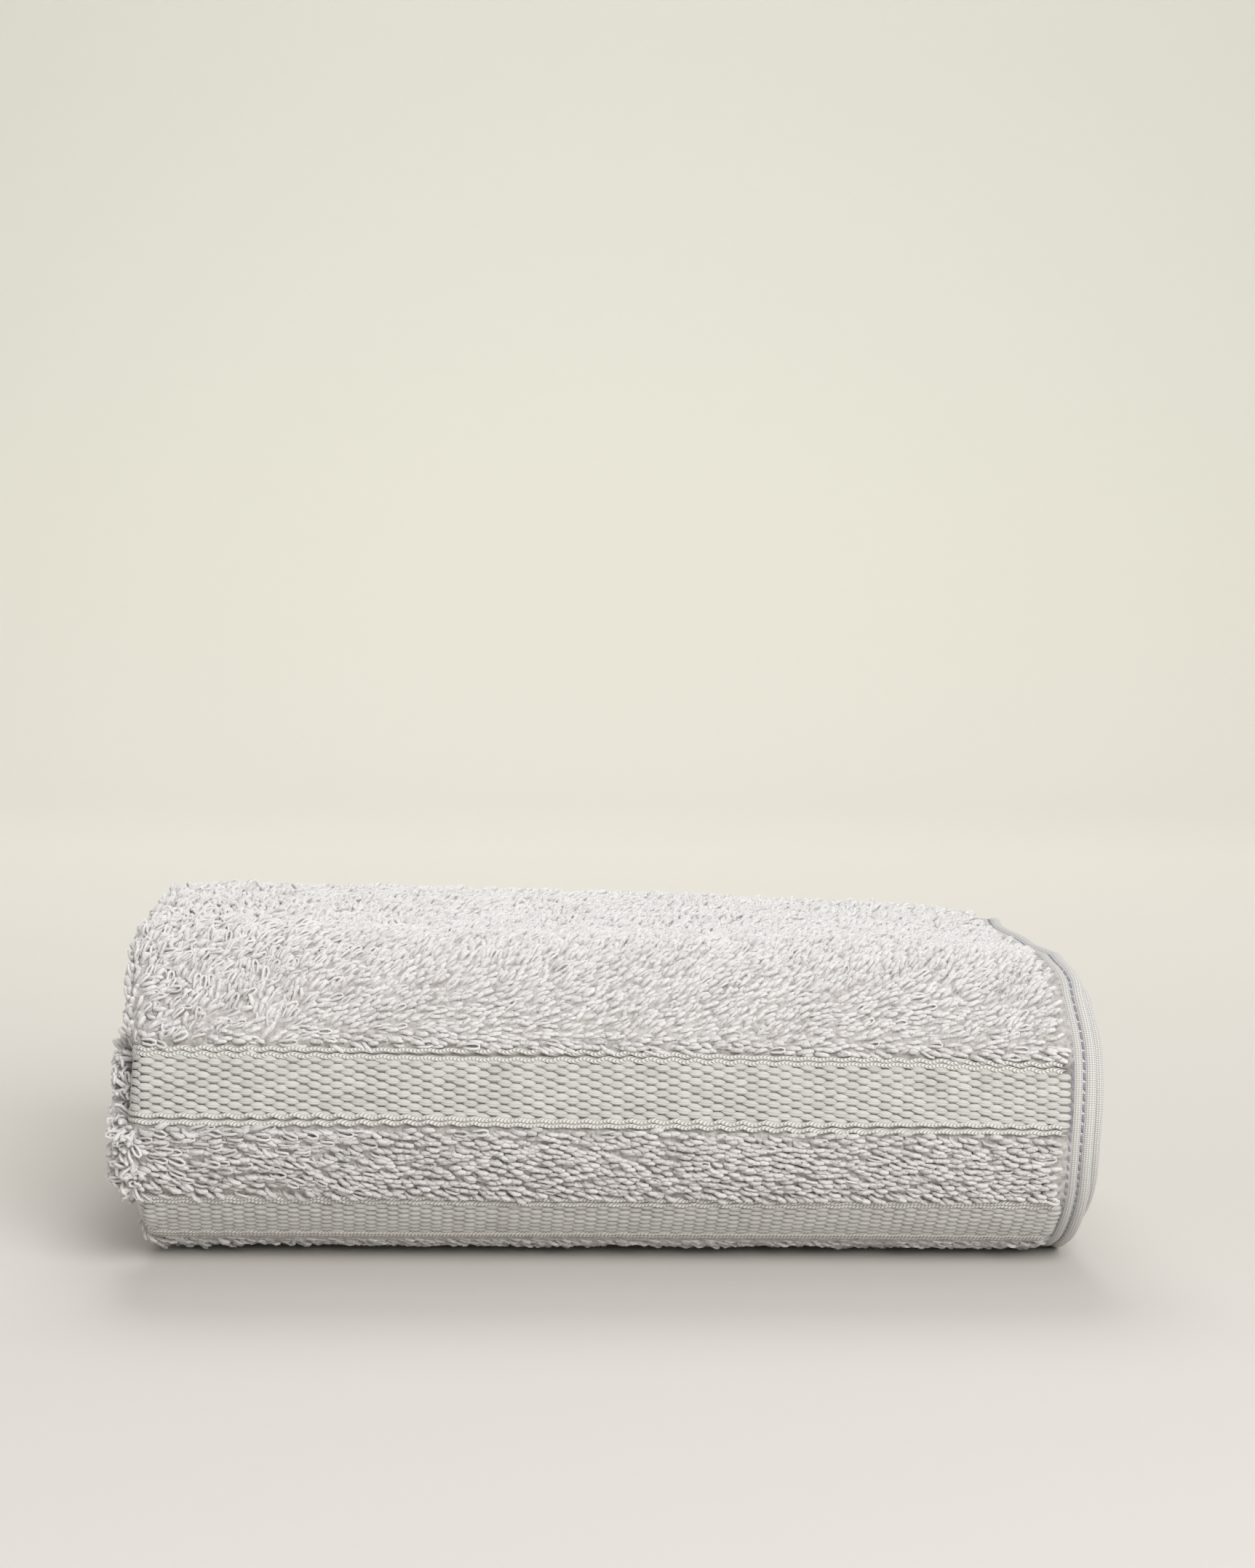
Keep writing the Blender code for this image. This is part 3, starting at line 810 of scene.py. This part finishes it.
LEG = ((0.0, 0.3, 0.0), (1.2, 0.75, 1.9), (4.0, 0.95, 2.5), (5.4, 0.45, 2.3))
OTHER_LEG = tuple((x, -y, z) for x, y, z in reversed(LEG))
OPEN = tuple((*place, YARN / 2) for place in LEG + OTHER_LEG)


def strand(rings, sides):
    """A loop's yarn in millimetres, leaning forward along X. A finger is flat and turns on its way."""
    finger = rings[-1][3] == 0
    pattern = bmesh.new()
    layer = pattern.loops.layers.uv.new("yarn")
    bmesh.ops.create_grid(pattern, x_segments=sides, y_segments=len(rings) - 1, size=1)
    pattern.verts.ensure_lookup_table()
    path = [Vector(ring[:3]) for ring in rings]
    gone = [0.0]
    for before, after in zip(path, path[1:]):
        gone.append(gone[-1] + (after - before).length)
    for vertex in pattern.verts:
        row, column = divmod(vertex.index, sides + 1)
        ahead = (path[min(row + 1, len(path) - 1)] - path[max(row - 1, 0)]).normalized()
        outward = Vector((0.3, 0.0, 1.0)).cross(ahead).normalized()
        upward = ahead.cross(outward)
        around = 2 * math.pi * column / sides
        spot = Vector((math.cos(around), math.sin(around) * (FINGER_FLAT if finger else 1.0)))
        spot = Matrix.Rotation(FINGER_TWIST * row if finger else 0.0, 2) @ spot
        vertex.co = path[row] + (outward * spot.x + upward * spot.y) * rings[row][3]
    for face in pattern.faces:
        for corner in face.loops:
            row, column = divmod(corner.vert.index, sides + 1)
            corner[layer].uv = (gone[row], column * 2 * math.pi * YARN / 2 / sides)
    bmesh.ops.remove_doubles(pattern, verts=pattern.verts, dist=0.001)
    bmesh.ops.recalc_face_normals(pattern, faces=pattern.faces)
    pattern.verts.index_update()
    return pattern


def wavering(points, size, seed):
    """Smooth noise from -1 to 1 at points in metres, with features of a size in millimetres."""
    step = 1 / (size * MM)
    return np.array([noise.noise((p[0] * step + seed, p[1] * step, p[2] * step)) for p in points]) * 1.6


def left_tousle(points):
    """How tousled the pile is: wild at the folded left end, neat from the middle on."""
    return 0.10 + smooth_step(-60.0, -165.0, points[:, 0] / MM - MIDDLE_X) * 0.9


SWIRL_MM = 26.0  # the pile leans one way over such a patch
TUFT_MM = 9.0
NOD_MM = 12.0
NOD = 6.0  # in degrees, as the next two
STRAY = 5.0
ROLL = 22.0
SIZES = (0.88, 1.10)
TONES = 0.11


def pile(name, shapes, lean_of, run, reach, spread, lift, seed, sides=4, root=GROUND_HEIGHT, size=1.0,
         tousle=None, tone_and_shading=0.55):
    """A field of terry loops. lean_of gives each one's way, in degrees from the right towards the floor,
    spread how far they swirl from it, and lift how far they rise from the cloth."""
    draws = np.random.default_rng(seed)
    here, across, along, out = placed(run, reach, root + GROUND_THICK / 2 * np.sign(root))
    swirl = wavering(here, SWIRL_MM, seed) * 0.6 + wavering(here, TUFT_MM, seed + 40) * 0.5
    wild = left_tousle(here) if tousle is None else np.full(len(run), tousle)
    lean = lean_of(here, run) + spread * (swirl + draws.normal(0, 0.5, len(run))) * (0.6 + 1.6 * wild)
    lean = np.radians(lean)
    forward = across * np.cos(lean)[:, None] + along * np.sin(lean)[:, None]
    nod = wavering(here, NOD_MM, seed + 80) * NOD
    tilt = np.radians(lift + nod + draws.normal(0, STRAY, len(run)) * (1 + wild))
    raised = forward * np.cos(tilt)[:, None] + out * np.sin(tilt)[:, None]
    crown = out * np.cos(tilt)[:, None] - forward * np.sin(tilt)[:, None]
    sideways = np.cross(crown, raised)
    roll = np.radians(draws.normal(0, ROLL, len(run)) * (1 + wild))
    turned = sideways * np.cos(roll)[:, None] + crown * np.sin(roll)[:, None]
    crown = crown * np.cos(roll)[:, None] - sideways * np.sin(roll)[:, None]
    sizes = (size * draws.uniform(*SIZES, len(run)) * (1 + 0.10 * wild))[:, None]
    axes = np.stack([raised * sizes, turned * sizes, crown * sizes], axis=-1)
    tones = tone_and_shading + draws.uniform(-TONES, TONES, len(run))
    which = draws.integers(0, len(shapes), len(run))
    if len(shapes) > 2:  # the open loops stand only where the pile is tousled
        which = np.where((which == 2) & (draws.uniform(0, 1, len(run)) > wild), 1, which)
    for at, rings in enumerate(shapes):
        mine = which == at
        copies(f"{name}_{at + 1}", strand(rings, sides), axes[mine], here[mine], tones[mine], pile_finish)


def scattered(runs, reaches, long_mm, pitch, seed, jitter=0.40):
    """Uneven rows of loops over an area of the cloth. pitch is the rows' along it and the loops' across."""
    wide_mm = reaches[1] - reaches[0]
    rows, columns = max(1, round(long_mm / pitch[0])), max(1, round(wide_mm / pitch[1]))
    draws = np.random.default_rng(seed)
    row, column = np.meshgrid(np.arange(rows), np.arange(columns), indexing="ij")
    row, column = row.ravel(), column.ravel()
    along = (row + 0.5 + draws.uniform(-jitter, jitter, row.size)) / rows
    across = (column + 0.5 * (row % 2) + draws.uniform(-jitter, jitter, row.size)) / columns
    return runs[0] + (runs[1] - runs[0]) * along, reaches[0] + wide_mm * across


PAST_FOLD = -2.0  # the fields start a little round the fold


def field(low_run, high_run, long_mm, pitch, seed, clear=3.0, jitter=0.40):
    """Loops' places over the outer layer, from the fold until the loops' tips are clear of the hem."""
    runs = np.linspace(low_run, high_run, 30)
    widest = float(np.max(outer_reach(runs, HEM_WIDTH, GROUND_HEIGHT)))
    run, reach = scattered((low_run, high_run), (PAST_FOLD, widest), long_mm, pitch, seed, jitter)
    keep = reach < outer_reach(run, HEM_WIDTH + clear, GROUND_HEIGHT)
    return run[keep], reach[keep]


def over_top(points, run):
    """Up and to the right, and straighter up towards the fold."""
    return -52.0 - 25.0 * smooth_step(-90.0, -170.0, points[:, 0] / MM)


def above_border(points, run):
    """Down the front the loops turn more and more to the right, and the last ones lie along the border."""
    gap = UPPER_BORDER - front_along(run)
    return over_top(points, run) + 32.0 * smooth_step(50.0, 8.0, gap) + 26.0 * smooth_step(8.0, 1.0, gap)


def in_band(points, run):
    """To the right, and down over the lower border."""
    return 2.0 + 20.0 * smooth_step(5.0, 0.0, LOWER_BORDER - front_along(run))


run, reach = field(OUTER_FRONT, front_run(UPPER_BORDER + 0.2), UPPER_BORDER, (2.2, 2.35), seed=1, clear=4.2)
pile("front_pile", (SHORT, LONG, OPEN), above_border, run, reach, spread=26.0, lift=-2.0, seed=21, sides=5,
     tone_and_shading=0.52)
band_runs = front_run(UPPER_BORDER + BORDER_WIDTH + 0.9), front_run(LOWER_BORDER - 0.9)
run, reach = field(*band_runs, PILE_BAND, (2.25, 3.0), seed=2, clear=5.2, jitter=0.28)
# Painted shade: the band's loops are coloured darker than the rest of the pile
pile("band_pile", (PLUMP, PLUMP, OPEN), in_band, run, reach, spread=11.0, lift=-3.0, seed=22, sides=5,
     tone_and_shading=0.42)
run, reach = field(OUTER_TOP, OUTER_FRONT, TOP_LENGTH, (2.6, 2.6), seed=3)
pile("top_pile", (SHORT, LONG), over_top, run, reach, spread=30.0, lift=0.0, seed=23)
run, reach = field(OUTER_BACK, OUTER_TOP, BACK_LENGTH, (3.2, 3.2), seed=4)
pile("back_pile", (PLAIN, PLAIN), over_top, run, reach, spread=30.0, lift=0.0, seed=24, size=1.15)
under_border = front_run(LOWER_BORDER + BORDER_WIDTH + 2.5)
run, reach = field(under_border, OUTER_BOTTOM - 0.01, 26.5, (2.9, 3.0), seed=5)
pile("under_pile", (PLAIN,), in_band, run, reach, spread=20.0, lift=-12.0, seed=25)


# The fold's pile: every lap's fold shows at the left end, with its loops standing out of it every way.
# Past the bare borders' folds the next turn's pile shows, and the band's own fold is the most tousled.
FOLD_REACH = 9.0
FOLD_ROOT = BED_HEIGHT - 0.9


def around(points, run):
    """Every way round."""
    return np.array([360.0 * noise.noise((at * 37.0, p[2] * 300.0, 1.0)) for at, p in zip(run, points)])


def back_out(points, run):
    """Against the winding's way."""
    return np.full(len(run), -90.0)


run, reach = scattered((FIRST_RUN + 0.05, OUTER_BACK), (-FOLD_REACH, FOLD_REACH), 900.0, (2.7, 2.7), seed=6)
pile("fold_pile", (PLAIN,), around, run, reach, spread=40.0, lift=10.0, seed=26, root=FOLD_ROOT, tousle=0.3)
run, reach = scattered((OUTER_BACK, LAST_RUN - 0.05), (-FOLD_REACH, PAST_FOLD), 528.0, (2.6, 2.6), seed=7)
on_pile = on_borders(run) <= 0.5
pile("outer_fold_pile", (PLAIN, OPEN), around, run[on_pile], reach[on_pile], spread=40.0, lift=12.0, seed=27,
     root=FOLD_ROOT, tousle=0.3)
# Loops stand out of the start's edge into the hollow of the first turn, at the fold and at the hems
START_RUNS = (FIRST_RUN, FIRST_RUN + 0.04)
run, reach = scattered(START_RUNS, (-FOLD_REACH, FOLD_REACH), 8.0, (1.3, 1.5), seed=12)
pile("start_pile", (LOOSE,), back_out, run, reach, spread=25.0, lift=5.0, seed=30, root=2.0, tousle=0.6)
at_hem = float(outer_reach(FIRST_RUN, HEM_WIDTH, GROUND_HEIGHT))
run, reach = scattered(START_RUNS, (at_hem - 8.0, at_hem + 3.0), 8.0, (1.3, 1.5), seed=13)
pile("start_hem_pile", (LOOSE,), back_out, run, reach, spread=25.0, lift=5.0, seed=32, root=2.0, tousle=0.6)
next_turn = OUTER_RUN - 2.1, OUTER_RUN - 0.9
run, reach = scattered(next_turn, (-6.0, FOLD_REACH), 170.0, (2.1, 2.1), seed=8)
past_border = on_borders(run + STRETCHES) > 0.3
# Painted light: these loops are coloured paler than the rest of the pile, against the shade of the fold
pile("next_fold_pile", (LONG, OPEN), around, run[past_border], reach[past_border], spread=40.0, lift=30.0,
     seed=28, root=FOLD_ROOT + 1.0, size=1.15, tousle=0.4, tone_and_shading=0.75)
band_fold = front_run(UPPER_BORDER + BORDER_WIDTH + 1), front_run(LOWER_BORDER - 1)
run, reach = scattered(band_fold, (-7.0, 8.0), PILE_BAND, (2.0, 2.0), seed=9)
pile("band_fold_pile", (LONG, OPEN), around, run, reach, spread=50.0, lift=35.0, seed=29, sides=5,
     root=FOLD_ROOT, size=1.15, tousle=0.5, tone_and_shading=0.6)


# The gaps between the side hems: the pile starts a little way in, and its loops fill the gaps between the
# two layers and between the laps. Each loop's back is turned to the nearer hem, so that none pokes out.
GAP_PITCH = 1.9
GAP_DEPTH = 9.8
GAP_STRAY = 1.5
GAP_HALF = 1.9
GAP_SIZE = 1.5
GAP_TONES = (0.58, 0.78)

gap_runs = np.linspace(FIRST_RUN + 0.02, LAST_RUN - 0.3, int(CLOTH_LENGTH / MM / GAP_PITCH))
lap_runs = gap_runs[gap_runs < OUTER_RUN + 0.5]
draws = np.random.default_rng(31)
run = np.concatenate([gap_runs, gap_runs, lap_runs, lap_runs])
between_layers = np.arange(len(run)) < 2 * len(gap_runs)
middle = np.where(between_layers, 0.0, LAYER - 1.0)
height = np.abs(middle + draws.uniform(-GAP_HALF, GAP_HALF, len(run)) * np.where(between_layers, 1, 0.5))
reach = outer_reach(run, GAP_DEPTH + draws.uniform(-GAP_STRAY, GAP_STRAY, len(run)), height)
here, across, along, out = placed(run, reach, height)
turn = draws.uniform(-1.0, 1.0, len(run))[:, None]
to_middle = np.where(between_layers, -1.0, 1.0)[:, None]
upward = out * np.cos(turn) * to_middle + along * np.sin(turn)
ahead = unit(across + 0.3 * along * draws.normal(0, 1, len(run))[:, None])
upward = unit(upward - ahead * np.sum(upward * ahead, axis=1, keepdims=True))
axes = np.stack([ahead, np.cross(upward, ahead), upward], axis=-1) * GAP_SIZE
tones = draws.uniform(*GAP_TONES, len(run))
copies("hem_gap_pile", strand(PLAIN, 4), axes, here, tones, pile_finish)


# The studio's paper sweep: one wide sheet that runs along the floor under the roll, bends up behind it
# and rises as the backdrop.
SWEEP_WIDE = 7.0
SWEEP_NEAR = -2.5
SWEEP_FAR = 1.3
SWEEP_BEND = 0.7
SWEEP_HIGH = 3.0
GRADED_FROM = -4.0
GRADED_TO = 3.0

# Matt uncoated paper: warm white, with no gloss. Its colour is graded, as painted shade and light against
# the lamps' uneven light, from grey in front of the roll to cream high behind it, so that the floor and the
# backdrop look evenly lit
paper = bpy.data.materials.new("matt paper sweep")
paper.use_nodes = True
tree = paper.node_tree
surface = tree.nodes["Principled BSDF"]
surface.inputs["Roughness"].default_value = 1.0
surface.inputs["Specular IOR Level"].default_value = 0.0
where = add(tree, "TexCoord")
parts = add(tree, "SeparateXYZ", [("Vector", where.outputs["Object"])])
away = add(tree, "Math", [(0, parts.outputs["Y"]), (1, parts.outputs["Z"])], operation="ADD")
gone = add(tree, "MapRange", [
    ("Value", away.outputs["Value"]), ("From Min", GRADED_FROM), ("From Max", GRADED_TO)])
tones = add(tree, "ValToRGB", [("Fac", gone.outputs["Result"])], stops=(
    (0.22, "#A9A6A2"), (0.42, "#BEBAB5"), (0.50, "#D8D3CE"), (0.58, "#D3CFC9"),
    (0.72, "#E3DFD6"), (0.87, "#DEDCD0"), (0.957, "#D9D9CE")))
tree.links.new(tones.outputs["Color"], surface.inputs["Base Color"])

mesh = bmesh.new()
bmesh.ops.create_grid(mesh, x_segments=1, y_segments=1, size=1)
mesh.verts.ensure_lookup_table()
for vertex, (x, y) in zip(mesh.verts, ((-1, SWEEP_NEAR), (1, SWEEP_NEAR), (-1, SWEEP_FAR), (1, SWEEP_FAR))):
    vertex.co = (x * SWEEP_WIDE / 2, y, 0.0)
rear = [edge for edge in mesh.edges if all(vertex.co.y > 0 for vertex in edge.verts)]
centre = (0, SWEEP_FAR, SWEEP_BEND)
bent = bmesh.ops.spin(mesh, geom=rear, cent=centre, axis=(1, 0, 0), angle=math.pi / 2, steps=16)
edge = [part for part in bent["geom_last"] if isinstance(part, bmesh.types.BMEdge)]
raised = bmesh.ops.extrude_edge_only(mesh, edges=edge)["geom"]
upper = [part for part in raised if isinstance(part, bmesh.types.BMVert)]
bmesh.ops.translate(mesh, verts=upper, vec=(0, 0, SWEEP_HIGH))
bmesh.ops.recalc_face_normals(mesh, faces=mesh.faces)
data = bpy.data.meshes.new("paper_sweep")
mesh.to_mesh(data)
mesh.free()
data.materials.append(paper)
data.shade_smooth()
sweep = bpy.data.objects.new("paper_sweep", data)
bpy.context.collection.objects.link(sweep)


# The studio's light: a large round soft box beside the camera lights the front almost squarely, so the
# shadow at the base stays narrow. Weaker ones above and behind brighten the top of the pile.
def lamp(name, place, aim, wide, watts):
    light = bpy.data.lights.new(name, "AREA")
    light.shape = "DISK"
    light.size = wide
    light.energy = watts
    holder = bpy.data.objects.new(name, light)
    way = Vector(aim) - Vector(place)
    turned = way.to_track_quat("-Z", "Y").to_matrix().to_4x4()
    holder.matrix_world = Matrix.Translation(place) @ turned
    bpy.context.collection.objects.link(holder)


lamp("key_lamp", (1.0, -2.45, 1.80), (0.0, 0.0, 0.05), 2.0, 89.0)
lamp("top_lamp", (0.3, -0.2, 2.2), (0.0, 0.0, 0.0), 1.4, 4.0)
lamp("back_lamp", (-0.2, 1.2, 2.0), (0.0, 0.0, 0.0), 1.4, 20.0)

# The room gives more light from near the floor than from above, which softens the shadows on the front
world = bpy.data.worlds.new("studio")
world.use_nodes = True
tree = world.node_tree
way = add(tree, "TexCoord")
parts = add(tree, "SeparateXYZ", [("Vector", way.outputs["Generated"])])
strength = add(tree, "MapRange", [("Value", parts.outputs["Z"]), ("From Min", 0.12), ("From Max", 0.42),
                                  ("To Min", 0.60), ("To Max", 0.24)])
tree.nodes["Background"].inputs["Color"].default_value = linear("#FAF9F7")
tree.links.new(strength.outputs["Result"], tree.nodes["Background"].inputs["Strength"])
bpy.context.scene.world = world
bpy.context.scene.view_settings.view_transform = "Standard"
